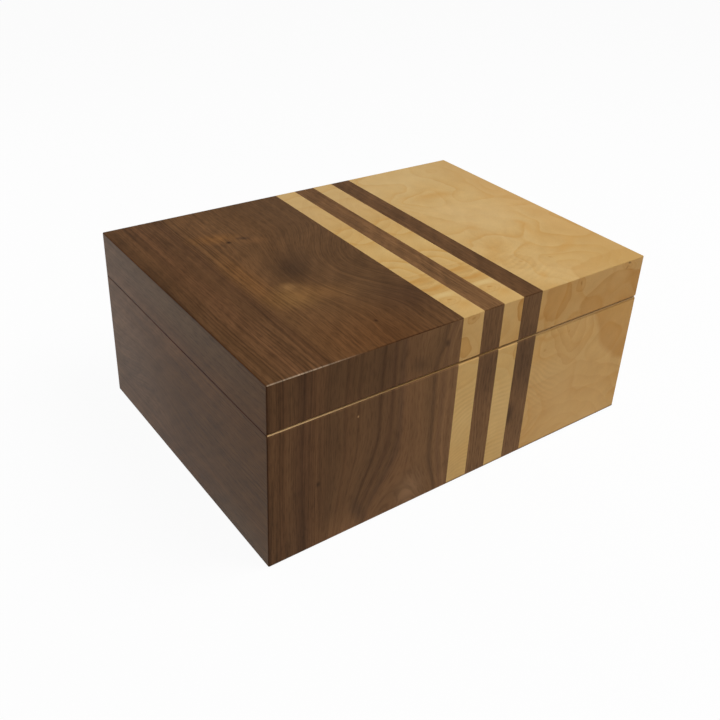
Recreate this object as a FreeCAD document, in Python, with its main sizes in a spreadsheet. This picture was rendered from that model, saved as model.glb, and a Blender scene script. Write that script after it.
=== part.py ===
"""A veneered wooden puzzle box: a hinged lid over a lined case, held by a hidden spin lock.

The lock is two loose steel pins in channels inside the front wall. Each slides inwards through the hook
of a tongue that hangs from the lid. Tilting the box draws one pin out and pushes the other in, and only a
spin on the table throws both outwards and frees the lid. The model rests closed, with both pins thrown out.

Frame: the origin is on the surface that the box stands on, under the middle of the case. X runs to the
right along the front, Y to the back and Z up. Lengths are in millimetres and angles in degrees.
"""
import FreeCAD
import Part
import math
import os
import re
import Sketcher

SIZES = (
    # The closed box
    ("box_width", 300, "outside, left to right"),
    ("box_depth", 217, "outside, front to back, without the hinges"),
    ("box_height", 127.5, "from the table to the lid's top"),
    ("lid_height", 32.1, "from the lid's rim to its top"),
    ("seam_gap", 0.4, "between the rims of case and lid"),
    ("edge_radius", 0.7, "eased outer edges"),
    ("foot_chamfer", 0.35, "eased edges along the foot"),
    ("rim_reveal", 0.6, "how far the chamfers along the seam cut into the wood behind the front veneer"),
    # Veneers
    ("veneer", 0.6, "thickness of a veneer sheet"),
    ("walnut_field_width", 134, "walnut from the left end to the first stripe"),
    ("stripe_width", 16.6, "each of the four stripes"),
    # Boards
    ("wall", 13, "side board with its veneer"),
    ("bottom_board", 6, "thickness"),
    ("top_board", 6, "thickness"),
    ("rebate", 5, "how far the bottom and top boards reach into the walls"),
    ("spline_length", 6, "loose tongue across a mitre"),
    ("spline_thickness", 2, "loose tongue across a mitre"),
    ("spline_gap", 0.5, "between a loose tongue and the corner of the top board"),
    ("pad_thickness", 1, "baize under the case"),
    ("pad_margin", 4, "from the outside of the case to the baize"),
    # Lining
    ("liner", 4, "thickness of a side lining board"),
    ("floor_liner", 3, "thickness"),
    ("ceiling_liner", 3, "thickness"),
    ("lip_height", 6, "how far the case lining stands above the rim"),
    ("lip_chamfer", 0.8, "lead-in along the lip's outer edge"),
    ("lip_clear", 0.4, "between the lip and the lid's walls"),
    # Stop hinges
    ("hinge_inset", 62, "from an end of the box to the middle of a hinge"),
    ("hinge_length", 38, "along the back"),
    ("knuckle_length", 12.6, "middle knuckle, on the lid's leaf"),
    ("knuckle_gap", 0.2, "between neighbouring knuckles"),
    ("leaf_margin", 2.6, "wood between a leaf and the inside of the lid"),
    ("leaf_thickness", 1.2, "each leaf"),
    ("barrel_radius", 2.8, "outside of the knuckles"),
    ("barrel_clear", 0.25, "round the knuckles"),
    ("hinge_pin_radius", 1.3, "pin"),
    ("hinge_pin_grip", 0.01, "round the pin in the case's knuckles"),
    ("hinge_pin_play", 0.05, "round the pin in the lid's knuckle"),
    ("stop_angle", 96, "opening at which the two heels meet"),
    ("heel_radius", 5, "stop heels behind the knuckles"),
    ("heel_reach", 118, "angle from straight back to the heel's inner face"),
    ("hinge_screw_pitch", 12, "from the middle of a leaf to each of its screws"),
    # Countersunk screws
    ("screw_radius", 0.9, "shank"),
    ("screw_length", 9, "from the head's face to the tip"),
    ("screw_head_radius", 1.75, "countersunk head"),
    ("screw_head_depth", 1.2, "countersunk head"),
    ("screw_clear", 0.05, "round a screw and beyond its tip"),
    # Spin lock
    ("lock_spacing", 48, "between the two tongues"),
    ("tongue_thickness", 3, "along the front"),
    ("tongue_clear", 0.6, "beside a tongue in its slot"),
    ("tongue_swing", 1.4, "in front of a tongue in its slot, for the lid's arc"),
    ("slot_wood", 2.1, "wood in front of a tongue's slot"),
    ("hook_lip", 3, "below the notch of a tongue"),
    ("hook_clear", 0.5, "round a locked pin in the notch of a tongue"),
    ("hook_chamfer", 1, "lead-in at the lower end of a tongue"),
    ("lock_pin_radius", 2.5, "loose pin"),
    ("lock_pin_length", 26, "loose pin"),
    ("lock_pin_travel", 9, "from free to locked"),
    ("lock_pin_clear", 0.25, "round a loose pin in its channel"),
    ("lock_pin_depth", 12, "from the rim to a pin's axis"),
    ("plate_length", 82, "link plate"),
    ("plate_wood", 2.7, "wood in front of the link plate"),
    ("plate_thickness", 1.2, "link plate"),
    ("plate_screw_pitch", 33, "from the middle of the link plate to each of its screws"),
)

doc = FreeCAD.newDocument("puzzle_box")
sheet = doc.addObject("Spreadsheet::Sheet", "sizes")
for row, (name, value, note) in enumerate(SIZES, start=1):
    sheet.set(f"A{row}", name)
    sheet.set(f"B{row}", str(value))
    sheet.set(f"C{row}", note)
    sheet.setAlias(f"B{row}", name)
doc.recompute()

# Places that several pieces share, as expressions of the sizes
HALF_X = "box_width / 2"
HALF_Y = "box_depth / 2"
FOOT = "pad_thickness"
RIM = "(box_height - lid_height - seam_gap)"
LID_RIM = "(box_height - lid_height)"
TOP_FACE = "(box_height - veneer)"
LIP = f"({RIM} + lip_height)"
FLOOR = "(pad_thickness + bottom_board)"
CEILING = "(box_height - veneer - top_board)"
CORE_X = "(box_width / 2 - veneer)"
CORE_Y = "(box_depth / 2 - veneer)"
CASE_X = "(box_width / 2 - wall)"
CASE_Y = "(box_depth / 2 - wall)"
LID_X = "(box_width / 2 - wall + lip_clear)"
LID_Y = "(box_depth / 2 - wall + lip_clear)"
HINGE_Y = "(box_depth / 2 + barrel_radius + barrel_clear)"
HINGE_Z = f"({RIM} + seam_gap / 2)"
LOCK_Y = "(-box_depth / 2 + wall - lock_pin_clear - lock_pin_radius)"
LOCK_Z = f"({RIM} - lock_pin_depth)"
TONGUE_BACK = "(-box_depth / 2 + wall - tongue_clear)"
TONGUE_FRONT = "(-box_depth / 2 + veneer + slot_wood + tongue_swing)"
LEAF_FRONT = "(box_depth / 2 - wall + lip_clear + leaf_margin)"
SPLINE_INSET = "(wall - lip_clear - veneer - rebate - spline_gap - spline_thickness / sqrt(8))"

UPWARD = FreeCAD.Rotation()
DOWNWARD = FreeCAD.Rotation(FreeCAD.Vector(1, 0, 0), 180)
ALONG_X = FreeCAD.Rotation(FreeCAD.Vector(1, 1, 1), 120)

SIZE_NAMES = {name for name, value, note in SIZES}
nodes = []


def cells(text):
    """The expression with the name of each size turned into its cell of the sheet."""
    return re.sub("[a-z_]+", lambda word: f"sizes.{word[0]}" if word[0] in SIZE_NAMES else word[0], text)


def bind(item, **properties):
    """Bind properties of a document object to expressions of the sizes."""
    for name, text in properties.items():
        item.setExpression(name, cells(text))


def place(item, **base):
    """Bind the x, y and z of an object's placement to expressions of the sizes."""
    for axis, text in base.items():
        item.setExpression(f"Placement.Base.{axis}", cells(text))


def node(item, label):
    """Keep an object as a sub-part under its label."""
    item.Label = label
    nodes.append(item)
    return item


# Sketched pieces: a sketch lies level at a height, or upright across X

def flat_sketch(body, offset, plane="XY_Plane"):
    """An empty sketch on one of the body's planes, moved off it."""
    sketch = body.newObject("Sketcher::SketchObject", f"{body.Name}_sketch")
    ground = next(item for item in body.Origin.OriginFeatures if item.Role == plane)
    sketch.AttachmentSupport = [(ground, "")]
    sketch.MapMode = "FlatFace"
    sketch.setExpression("AttachmentOffset.Base.z", cells(offset))
    return sketch


def fix_point(sketch, element, point, guess, where):
    """Tie a point of the sketch to two expressions, measured from the origin."""
    for kind, start, text in zip(("DistanceX", "DistanceY"), guess, where):
        number = sketch.addConstraint(Sketcher.Constraint(kind, -1, 1, element, point, start))
        sketch.setExpression(f"Constraints[{number}]", cells(text))


def outline(body, offset, corners, plane="XY_Plane"):
    """A closed sketch through corners given as expressions."""
    sketch = flat_sketch(body, offset, plane)
    turns = [2 * math.pi * index / len(corners) for index in range(len(corners))]
    guesses = [FreeCAD.Vector(10 * math.cos(turn), 10 * math.sin(turn), 0) for turn in turns]
    for index, guess in enumerate(guesses):
        sketch.addGeometry(Part.LineSegment(guess, guesses[(index + 1) % len(guesses)]))
    for index in range(len(corners)):
        sketch.addConstraint(Sketcher.Constraint("Coincident", index, 2, (index + 1) % len(corners), 1))
    for index, corner in enumerate(corners):
        fix_point(sketch, index, 1, guesses[index], corner)
    return sketch


def rectangle(x, y):
    """The corners of a rectangle between two expressions each way."""
    return [(x[0], y[0]), (x[1], y[0]), (x[1], y[1]), (x[0], y[1])]


def both_ways(half):
    return f"-({half})", half


def pad(body, sketch, length):
    feature = body.newObject("PartDesign::Pad", f"{body.Name}_pad")
    feature.Profile = sketch
    bind(feature, Length=length)
    return feature


def pocket(body, sketch, depth, upward=False):
    """Cut a sketch down into the body, or upwards, and see that wood came away."""
    doc.recompute()
    before = body.Shape.Volume
    feature = body.newObject("PartDesign::Pocket", f"{body.Name}_pocket")
    feature.Profile = sketch
    feature.Reversed = upward
    bind(feature, Length=depth)
    doc.recompute()
    if not body.Shape.Volume < before:
        raise RuntimeError(f"a pocket of {body.Name} cuts nothing")
    return feature


def dress(body, kind, test, **sizes):
    """Fillet or chamfer the edges of a body that pass a test on their bounding box."""
    doc.recompute()
    base = body.Tip
    edges = enumerate(base.Shape.Edges, start=1)
    chosen = [f"Edge{index}" for index, edge in edges if test(edge.BoundBox)]
    feature = body.newObject(f"PartDesign::{kind}", f"{body.Name}_{kind.lower()}")
    feature.Base = (base, chosen)
    bind(feature, **sizes)
    return feature


def slab(name, corners, low, height):
    """A body padded from an outline."""
    body = doc.addObject("PartDesign::Body", name)
    pad(body, outline(body, low, corners), height)
    return body


# Plain solids

def block(name, x, y, z):
    """A box between two expressions on each axis."""
    solid = doc.addObject("Part::Box", name)
    for size, (low, high) in zip(("Length", "Width", "Height"), (x, y, z)):
        bind(solid, **{size: f"({high}) - ({low})"})
    place(solid, x=x[0], y=y[0], z=z[0])
    return solid


def rod(name, x, y, z, radius, turn=ALONG_X):
    """A cylinder along X between two expressions."""
    solid = doc.addObject("Part::Cylinder", name)
    solid.Placement = FreeCAD.Placement(FreeCAD.Vector(), turn)
    bind(solid, Radius=radius, Height=f"({x[1]}) - ({x[0]})")
    place(solid, x=x[0], y=y, z=z)
    return solid


def fuse(name, *solids):
    result = doc.addObject("Part::MultiFuse", name)
    result.Shapes = list(solids)
    return result


def cut(name, base, *tools):
    """The base less its tools."""
    result = doc.addObject("Part::Cut", name)
    result.Base = base
    result.Tool = tools[0] if len(tools) == 1 else fuse(f"{name}_tools", *tools)
    return result


def group(label, solids):
    """Equal pieces that share a node."""
    result = doc.addObject("Part::Compound", label)
    result.Links = list(solids)
    return node(result, label)


# Mitred frames: case boards, lid boards and both linings

def mitred_frame(prefix, suffix, outer, inner, low, height):
    """Four boards with mitred ends, as bodies by side."""
    (ox, oy), (ix, iy) = outer, inner
    plans = {
        "front": [(f"-{ox}", f"-{oy}"), (ox, f"-{oy}"), (ix, f"-{iy}"), (f"-{ix}", f"-{iy}")],
        "back": [(f"-{ix}", iy), (ix, iy), (ox, oy), (f"-{ox}", oy)],
        "left": [(f"-{ox}", f"-{oy}"), (f"-{ix}", f"-{iy}"), (f"-{ix}", iy), (f"-{ox}", oy)],
        "right": [(ix, f"-{iy}"), (ox, f"-{oy}"), (ox, oy), (ix, iy)],
    }
    return {side: slab(f"{prefix}_{side}_{suffix}", plan, low, height) for side, plan in plans.items()}


def spline_plan(side_x, side_y):
    """The corners of a loose tongue that crosses the mitre of one corner of the box."""
    corners = []
    for across, along in ((-1, -1), (1, -1), (1, 1), (-1, 1)):
        x = f"{CORE_X} - {SPLINE_INSET} + ({across} * spline_length + {along} * spline_thickness) / sqrt(8)"
        y = f"{CORE_Y} - {SPLINE_INSET} + ({-across} * spline_length + {along} * spline_thickness) / sqrt(8)"
        corners.append((f"{side_x} * ({x})", f"{side_y} * ({y})"))
    return corners


def spline_mitres(prefix, frame, low, height):
    """Cut the grooves for the loose tongues in all four mitres, and make the tongues."""
    splines = []
    for x_side, side_x in (("left", -1), ("right", 1)):
        for y_side, side_y in (("front", -1), ("back", 1)):
            plan = spline_plan(side_x, side_y)
            for side in (x_side, y_side):
                pocket(frame[side], outline(frame[side], low, plan), height, upward=True)
            splines.append(slab(f"{prefix}_{x_side}_{y_side}_spline", plan, low, height))
    group(f"{prefix}_corner_splines", splines)


def rebate_frame(frame, half_x, half_y, low, depth):
    """Rebate the inner edge of four boards for a panel, and give the panel's plan."""
    plan = rectangle(both_ways(f"{half_x} + rebate"), both_ways(f"{half_y} + rebate"))
    for body in frame.values():
        pocket(body, outline(body, low, plan), depth, upward=True)
    return plan


def make_case():
    height = f"{RIM} - {FOOT}"
    frame = mitred_frame("case", "blank", (CORE_X, CORE_Y), (CASE_X, CASE_Y), FOOT, height)
    spline_mitres("case", frame, FOOT, height)
    plan = rebate_frame(frame, CASE_X, CASE_Y, FOOT, "bottom_board")
    node(slab("case_bottom_board", plan, FOOT, "bottom_board"), "case_bottom_board")
    pad_plan = rectangle(both_ways(f"({HALF_X} - pad_margin)"), both_ways(f"({HALF_Y} - pad_margin)"))
    node(slab("baize_pad", pad_plan, "0", "pad_thickness"), "baize_pad")
    return frame


def make_case_lining():
    """Floor panel, and four boards whose upper edge is the lip that locates the lid."""
    floor_plan = rectangle(both_ways(CASE_X), both_ways(CASE_Y))
    node(slab("case_floor_liner", floor_plan, FLOOR, "floor_liner"), "case_floor_liner")
    low = f"({FLOOR} + floor_liner)"
    inner = (f"({CASE_X} - liner)", f"({CASE_Y} - liner)")
    frame = mitred_frame("case", "liner", (CASE_X, CASE_Y), inner, low, f"{LIP} - {low}")
    doc.recompute()
    outside = {"front": ("YMin", "YMax"), "back": ("YMax", "YMin"),
               "left": ("XMin", "XMax"), "right": ("XMax", "XMin")}
    for side, body in frame.items():
        whole = body.Shape.BoundBox
        outer, inner_side = outside[side]

        def on_lip(box):
            level = abs(box.ZMin - whole.ZMax) < 1e-6
            return level and abs(getattr(box, inner_side) - getattr(whole, outer)) < 1e-6

        dress(body, "Chamfer", on_lip, Size="lip_chamfer")
        node(body, f"case_{side}_liner")


def make_lid():
    height = f"{TOP_FACE} - {LID_RIM}"
    frame = mitred_frame("lid", "blank", (CORE_X, CORE_Y), (LID_X, LID_Y), LID_RIM, height)
    spline_mitres("lid", frame, LID_RIM, height)
    plan = rebate_frame(frame, LID_X, LID_Y, CEILING, "top_board")
    node(slab("lid_top_board", plan, CEILING, "top_board"), "lid_top_board")
    return frame


def make_lid_lining():
    """Ceiling panel, and four boards that rest on the lip of the case."""
    ceiling_plan = rectangle(both_ways(LID_X), both_ways(LID_Y))
    low = f"({CEILING} - ceiling_liner)"
    node(slab("lid_ceiling_liner", ceiling_plan, low, "ceiling_liner"), "lid_ceiling_liner")
    inner = (f"({LID_X} - liner)", f"({LID_Y} - liner)")
    for side, body in mitred_frame("lid", "liner", (LID_X, LID_Y), inner, LIP, f"{low} - {LIP}").items():
        node(body, f"lid_{side}_liner")


# The eased outside: boards and veneers are trimmed to the outside of the case or of the lid

def eased_outside(name, low, high, is_lid):
    """The whole outside of the case or of the lid: edges eased, and a chamfer along the front of the seam."""
    body = slab(name, rectangle(both_ways(HALF_X), both_ways(HALF_Y)), low, f"{high} - {low}")
    doc.recompute()
    box = body.Shape.BoundBox

    def at_foot(edge):
        return edge.ZMax < box.ZMin + 1e-6

    def at_top(edge):
        return edge.ZMin > box.ZMax - 1e-6

    def front_rim(edge):
        at_rim = at_foot(edge) if is_lid else at_top(edge)
        return at_rim and edge.YMax < box.YMin + 1e-6

    def rounded(edge):
        upright = edge.ZLength > box.ZLength / 2
        return upright or (is_lid and at_top(edge))

    dress(body, "Chamfer", front_rim, Size="veneer + rim_reveal")
    dress(body, "Fillet", rounded, Radius="edge_radius")
    if not is_lid:
        dress(body, "Chamfer", at_foot, Size="foot_chamfer")
    return body


def trim(name, blank, outside):
    """A board or a sheet cut back to the eased outside."""
    trimmed = doc.addObject("Part::Common", name)
    trimmed.Base = blank
    trimmed.Tool = outside
    return trimmed


def trim_boards(part, frame, outside):
    """The four boards, cut back to the eased outside."""
    for side, blank in frame.items():
        node(trim(f"{part}_{side}_trimmed", blank, outside), f"{part}_{side}_board")


# Veneers

def strips():
    """Where each veneer lies along X: its node's ending and the ranges of its sheets."""
    edges = [f"-{HALF_X}"]
    edges += [f"(-{HALF_X} + walnut_field_width + {count} * stripe_width)" for count in range(5)]
    edges += [HALF_X]
    spans = list(zip(edges, edges[1:]))
    return {"walnut_field": spans[:1], "burl_stripes": spans[1:5:2], "walnut_stripes": spans[2:5:2],
            "burl_field": spans[5:]}


def striped_face(face, outside, y, z, notches=()):
    """The six sheets of a face that carries the stripes, in four nodes."""
    for ending, spans in strips().items():
        label = f"{face}_{ending}"
        sheets = []
        for index, span in enumerate(spans):
            sheets.append(trim(f"{label}_{index}", block(f"{label}_{index}_blank", span, y, z), outside))
            if notches:
                sheets[-1] = cut(f"{label}_{index}_notched", sheets[-1], *notches)
        if len(sheets) > 1:
            group(label, sheets)
        else:
            node(sheets[0], label)


def plain_face(label, outside, x, z):
    """A single sheet over an end of the box, between the front and back sheets."""
    node(trim(label, block(f"{label}_blank", x, both_ways(CORE_Y), z), outside), label)


def make_veneers(part, outside, z, notches):
    """Front, back and both ends of the case or of the lid."""
    striped_face(f"{part}_front", outside, (f"-{HALF_Y}", f"-{CORE_Y}"), z)
    striped_face(f"{part}_back", outside, (CORE_Y, HALF_Y), z, notches)
    plain_face(f"{part}_left_walnut", outside, (f"-{HALF_X}", f"-{CORE_X}"), z)
    plain_face(f"{part}_right_burl", outside, (CORE_X, HALF_X), z)


# Screws: a countersunk head on a plain shank

def upright(name, kind, x, y, z, down, **sizes):
    """A cylinder or a cone that stands on a level face, or hangs from it."""
    solid = doc.addObject(f"Part::{kind}", name)
    solid.Placement = FreeCAD.Placement(FreeCAD.Vector(), DOWNWARD if down else UPWARD)
    bind(solid, **sizes)
    place(solid, x=x, y=y, z=z)
    return solid


def screw_solid(name, x, y, face, down, clear="0"):
    """A screw whose head lies in a level face, driven downwards or upwards, with clearance round it."""
    head = upright(f"{name}_head", "Cone", x, y, face, down, Radius1=f"screw_head_radius + {clear}",
                   Radius2=f"screw_radius + {clear}", Height=f"screw_head_depth + {clear}")
    shank = upright(f"{name}_shank", "Cylinder", x, y, face, down, Radius=f"screw_radius + {clear}",
                    Height=f"screw_length + {clear}")
    return fuse(name, head, shank)


def pilot_holes(body, centres, face, down):
    """Holes in the wood under a screwed plate, to the depth of the screws."""
    drill = flat_sketch(body, face)
    up = FreeCAD.Vector(0, 0, 1)
    for index, centre in enumerate(centres):
        guess = FreeCAD.Vector(10 * index + 5, 5, 0)
        drill.addGeometry(Part.Circle(guess, up, 1))
        fix_point(drill, index, 3, guess, centre)
        number = drill.addConstraint(Sketcher.Constraint("Radius", index, 1))
        drill.setExpression(f"Constraints[{number}]", cells("screw_radius + screw_clear"))
    pocket(body, drill, "screw_length + screw_clear", upward=not down)


# Stop hinges

def hinge_leaf(name, middle, down):
    """A leaf with its knuckles and its stop heel. The lid's leaf has the middle knuckle."""
    ends = (f"{middle} - hinge_length / 2", f"{middle} + hinge_length / 2")
    centre = (f"{middle} - knuckle_length / 2", f"{middle} + knuckle_length / 2")
    z = (f"{RIM} - leaf_thickness", RIM) if down else (LID_RIM, f"{LID_RIM} + leaf_thickness")
    plate = block(f"{name}_plate", ends, (LEAF_FRONT, HINGE_Y), z)
    barrel = rod(f"{name}_barrel", ends, HINGE_Y, HINGE_Z, "barrel_radius")
    stop = heel(name, ends, down)
    if down:
        gaps = [(f"{centre[0]} - knuckle_gap", f"{centre[1]} + knuckle_gap")]
    else:
        gaps = [(f"{ends[0]} - knuckle_gap", centre[0]), (centre[1], f"{ends[1]} + knuckle_gap")]
    cutters = [rod(f"{name}_gap_{index}", span, HINGE_Y, HINGE_Z, "barrel_radius + barrel_clear")
               for index, span in enumerate(gaps)]
    fit = "hinge_pin_grip" if down else "hinge_pin_play"
    cutters.append(rod(f"{name}_bore", ends, HINGE_Y, HINGE_Z, f"hinge_pin_radius + {fit}"))
    face = RIM if down else LID_RIM
    cutters += [screw_solid(f"{name}_hole_{index}", x, y, face, down, "screw_clear")
                for index, (x, y) in enumerate(hinge_screw_places(middle))]
    node(cut(f"{name}_cut", fuse(f"{name}_blank", plate, barrel, stop), *cutters), name)


def heel(name, ends, down):
    """A bar round part of the knuckles. The bars of both leaves meet when the lid is open."""
    start = math.radians(sheet.heel_reach)
    height = -math.sin(start) if down else math.sin(start)
    first = FreeCAD.Vector(0, math.cos(start), height)
    axis = FreeCAD.Vector(1 if down else -1, 0, 0)
    turn = FreeCAD.Rotation(first, axis.cross(first), axis, "ZXY")
    span = ends if down else (ends[1], ends[0])
    bar = rod(f"{name}_heel", span, HINGE_Y, HINGE_Z, "heel_radius", turn)
    bind(bar, Height="hinge_length", Angle="heel_reach - stop_angle / 2")
    return bar


def hinge_screw_places(middle):
    """Two screws along the middle of a leaf."""
    y = f"(({LEAF_FRONT} + {HALF_Y}) / 2)"
    return [(f"({middle} {sign} hinge_screw_pitch)", y) for sign in "-+"]


def make_hinges(case_back, lid_back):
    """Both hinges, let into the rims of the back boards. Gives the notches for the back veneers."""
    case_screws = []
    lid_screws = []
    notches = {"case": [], "lid": []}
    for side, sign in (("left", -1), ("right", 1)):
        middle = f"({sign} * ({HALF_X} - hinge_inset))"
        ends = (f"{middle} - hinge_length / 2", f"{middle} + hinge_length / 2")
        hinge_leaf(f"{side}_hinge_case_leaf", middle, down=True)
        hinge_leaf(f"{side}_hinge_lid_leaf", middle, down=False)
        node(rod(f"{side}_hinge_pin", ends, HINGE_Y, HINGE_Z, "hinge_pin_radius"), f"{side}_hinge_pin")
        depth = (LEAF_FRONT, HALF_Y)
        seat = rectangle(ends, depth)
        places = hinge_screw_places(middle)
        for body, face, down in ((case_back, RIM, True), (lid_back, LID_RIM, False)):
            pocket(body, outline(body, face, seat), "leaf_thickness", upward=not down)
            pilot_holes(body, places, face, down)
        for index, (x, y) in enumerate(places):
            case_screws.append(screw_solid(f"{side}_case_screw_{index}", x, y, RIM, True))
            lid_screws.append(screw_solid(f"{side}_lid_screw_{index}", x, y, LID_RIM, False))
        case_z = (f"{RIM} - leaf_thickness", RIM)
        lid_z = (LID_RIM, f"{LID_RIM} + leaf_thickness")
        for part, z in (("case", case_z), ("lid", lid_z)):
            notches[part].append(block(f"{side}_{part}_notch", ends, depth, z))
    group("hinge_case_screws", case_screws)
    group("hinge_lid_screws", lid_screws)
    return notches


# Spin lock

def tongue_range(sign, spare="0"):
    """A tongue's place along X, with spare room on both sides."""
    middle = f"{sign} * lock_spacing / 2"
    return f"{middle} - tongue_thickness / 2 - {spare}", f"{middle} + tongue_thickness / 2 + {spare}"


def pin_range(sign, spare, travel):
    """A free pin's place along X, with spare room at its ends and room to travel inwards."""
    outer = f"{sign} * (lock_spacing / 2 + tongue_thickness / 2 + tongue_clear + lock_pin_length + {spare})"
    inner = f"{sign} * (lock_spacing / 2 + tongue_thickness / 2 + tongue_clear - {travel} - {spare})"
    return (outer, inner) if sign < 0 else (inner, outer)


def tongue(name, sign):
    """A tongue that hangs from the link plate, with a notch that opens to the back."""
    front, back = TONGUE_FRONT, TONGUE_BACK
    notch_front = f"({LOCK_Y} - lock_pin_radius - hook_clear)"
    notch_low = f"({LOCK_Z} - lock_pin_radius - hook_clear)"
    notch_high = f"({LOCK_Z} + lock_pin_radius + hook_clear)"
    tip = f"({notch_low} - hook_lip)"
    corners = [
        (front, LID_RIM),
        (front, f"{tip} + hook_chamfer"),
        (f"{front} + hook_chamfer", tip),
        (f"{back} - hook_chamfer", tip),
        (back, f"{tip} + hook_chamfer"),
        (back, notch_low),
        (notch_front, notch_low),
        (notch_front, notch_high),
        (back, notch_high),
        (back, LID_RIM),
    ]
    body = doc.addObject("PartDesign::Body", name)
    pad(body, outline(body, tongue_range(sign)[0], corners, "YZ_Plane"), "tongue_thickness")
    return body


def make_link_plate(lid_front):
    """The plate in the lid's front rim, with a hooked tongue on each side of the middle."""
    plate_x = both_ways("plate_length / 2")
    plate_y = (f"(-{CORE_Y} + plate_wood)", f"-{LID_Y}")
    middle_y = f"(({plate_y[0]} + {plate_y[1]}) / 2)"
    screw_places = [(f"({sign}plate_screw_pitch)", middle_y) for sign in "-+"]
    seat = outline(lid_front, LID_RIM, rectangle(plate_x, plate_y))
    pocket(lid_front, seat, "plate_thickness", upward=True)
    pilot_holes(lid_front, screw_places, LID_RIM, down=False)
    strip = block("link_plate_strip", plate_x, plate_y, (LID_RIM, f"{LID_RIM} + plate_thickness"))
    blank = fuse("link_plate_blank", strip, tongue("left_tongue", -1), tongue("right_tongue", 1))
    holes = [screw_solid(f"link_plate_hole_{index}", x, y, LID_RIM, False, "screw_clear")
             for index, (x, y) in enumerate(screw_places)]
    node(cut("link_plate_cut", blank, *holes), "lock_link_plate")
    group("link_plate_screws", [screw_solid(f"link_plate_screw_{index}", x, y, LID_RIM, False)
                                for index, (x, y) in enumerate(screw_places)])


def make_lock_pins(case_front):
    """The loose pins, their channels behind the lining and the slots for the tongues."""
    half_channel = "(lock_pin_radius + lock_pin_clear)"
    channel_y = (f"{LOCK_Y} - {half_channel}", f"-{CASE_Y}")
    slot_y = (f"{TONGUE_FRONT} - tongue_swing", f"-{CASE_Y}")
    slot_depth = "lock_pin_depth + lock_pin_radius + hook_clear + hook_lip + tongue_clear"
    for side, sign in (("left", -1), ("right", 1)):
        slot = rectangle(tongue_range(sign, "tongue_clear"), slot_y)
        pocket(case_front, outline(case_front, RIM, slot), slot_depth)
        channel = rectangle(pin_range(sign, "lock_pin_clear", "lock_pin_travel"), channel_y)
        ceiling = outline(case_front, f"{LOCK_Z} + {half_channel}", channel)
        pocket(case_front, ceiling, f"2 * {half_channel}")
        name = f"{side}_lock_pin"
        node(rod(name, pin_range(sign, "0", "0"), LOCK_Y, LOCK_Z, "lock_pin_radius"), name)


def main():
    case = make_case()
    make_case_lining()
    lid = make_lid()
    make_lid_lining()
    notches = make_hinges(case["back"], lid["back"])
    make_link_plate(lid["front"])
    make_lock_pins(case["front"])
    case_outside = eased_outside("case_outside", FOOT, RIM, is_lid=False)
    lid_outside = eased_outside("lid_outside", LID_RIM, "box_height", is_lid=True)
    trim_boards("case", case, case_outside)
    trim_boards("lid", lid, lid_outside)
    make_veneers("case", case_outside, (FOOT, RIM), notches["case"])
    make_veneers("lid", lid_outside, (LID_RIM, TOP_FACE), notches["lid"])
    striped_face("lid_top", lid_outside, both_ways(HALF_Y), (TOP_FACE, "box_height"))
    doc.recompute()
    failed = [item.Name for item in doc.Objects if {"Invalid", "Error"} & set(item.State)]
    failed += [item.Label for item in nodes if item.Shape.isNull() or not item.Shape.isValid()]
    if failed:
        raise RuntimeError(f"not built: {failed}")
    os.makedirs("parts", exist_ok=True)
    for item in nodes:
        item.Shape.exportStep(f"parts/{item.Label}.step")
    print(len(nodes), "nodes written")


main()
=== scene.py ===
import math

import bmesh
import bpy
from mathutils import Matrix, Vector


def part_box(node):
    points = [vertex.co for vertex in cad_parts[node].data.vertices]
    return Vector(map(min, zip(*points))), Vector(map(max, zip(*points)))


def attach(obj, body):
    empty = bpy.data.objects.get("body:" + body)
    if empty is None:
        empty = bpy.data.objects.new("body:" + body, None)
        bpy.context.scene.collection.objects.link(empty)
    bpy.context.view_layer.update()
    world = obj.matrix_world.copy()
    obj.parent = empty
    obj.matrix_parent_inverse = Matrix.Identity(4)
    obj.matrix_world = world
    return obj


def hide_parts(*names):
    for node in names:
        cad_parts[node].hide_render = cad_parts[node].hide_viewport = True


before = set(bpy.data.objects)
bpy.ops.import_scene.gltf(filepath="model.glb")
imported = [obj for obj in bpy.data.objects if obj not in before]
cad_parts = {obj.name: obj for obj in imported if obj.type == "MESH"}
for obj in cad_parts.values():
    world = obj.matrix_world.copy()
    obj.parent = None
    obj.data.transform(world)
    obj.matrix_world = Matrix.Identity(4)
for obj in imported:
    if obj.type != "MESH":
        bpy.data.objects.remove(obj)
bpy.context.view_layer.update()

# A veneered wooden puzzle box. Lengths are in metres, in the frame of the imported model. The figure of each
# veneer is laid out on its face in millimetres from the left, the back or the top of the box.
MM = 0.001
BOX_WIDTH = 300
BOX_DEPTH = 217
BOX_HEIGHT = 127.5
STRIPE = 16.6
# How wide the walnut sheets are that the bands are laid out on: a field's, and the one for the stripes
FIELD_SHEET = 134
STRIPE_SHEET = 210
# Down from the top: the seam between lid and case, and where the upright veneers end above the baize
SEAM = 32.3
FOOT = 126.5
# On the case the burl is another sheet: its figure is laid out this much further down
CASE_SHEET = 300
# From the back: the line along the front edge of the top
FRONT_EDGE = BOX_DEPTH + 0.2

# How millimetres run over a face: an axis, a sign, and the place of the axis's zero
X, Y, Z = 0, 1, 2
FROM_LEFT = (X, 1, BOX_WIDTH / 2)
FROM_BACK = (Y, -1, BOX_DEPTH / 2)
FROM_TOP = (Z, -1, BOX_HEIGHT)

# A Mix node for colours: its settings, its inputs by number and its output
BLEND = {"data_type": "RGBA"}
MULTIPLY = {"data_type": "RGBA", "blend_type": "MULTIPLY"}
AMOUNT, UNDER, OVER = 0, 6, 7
MIXED = 2


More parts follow.
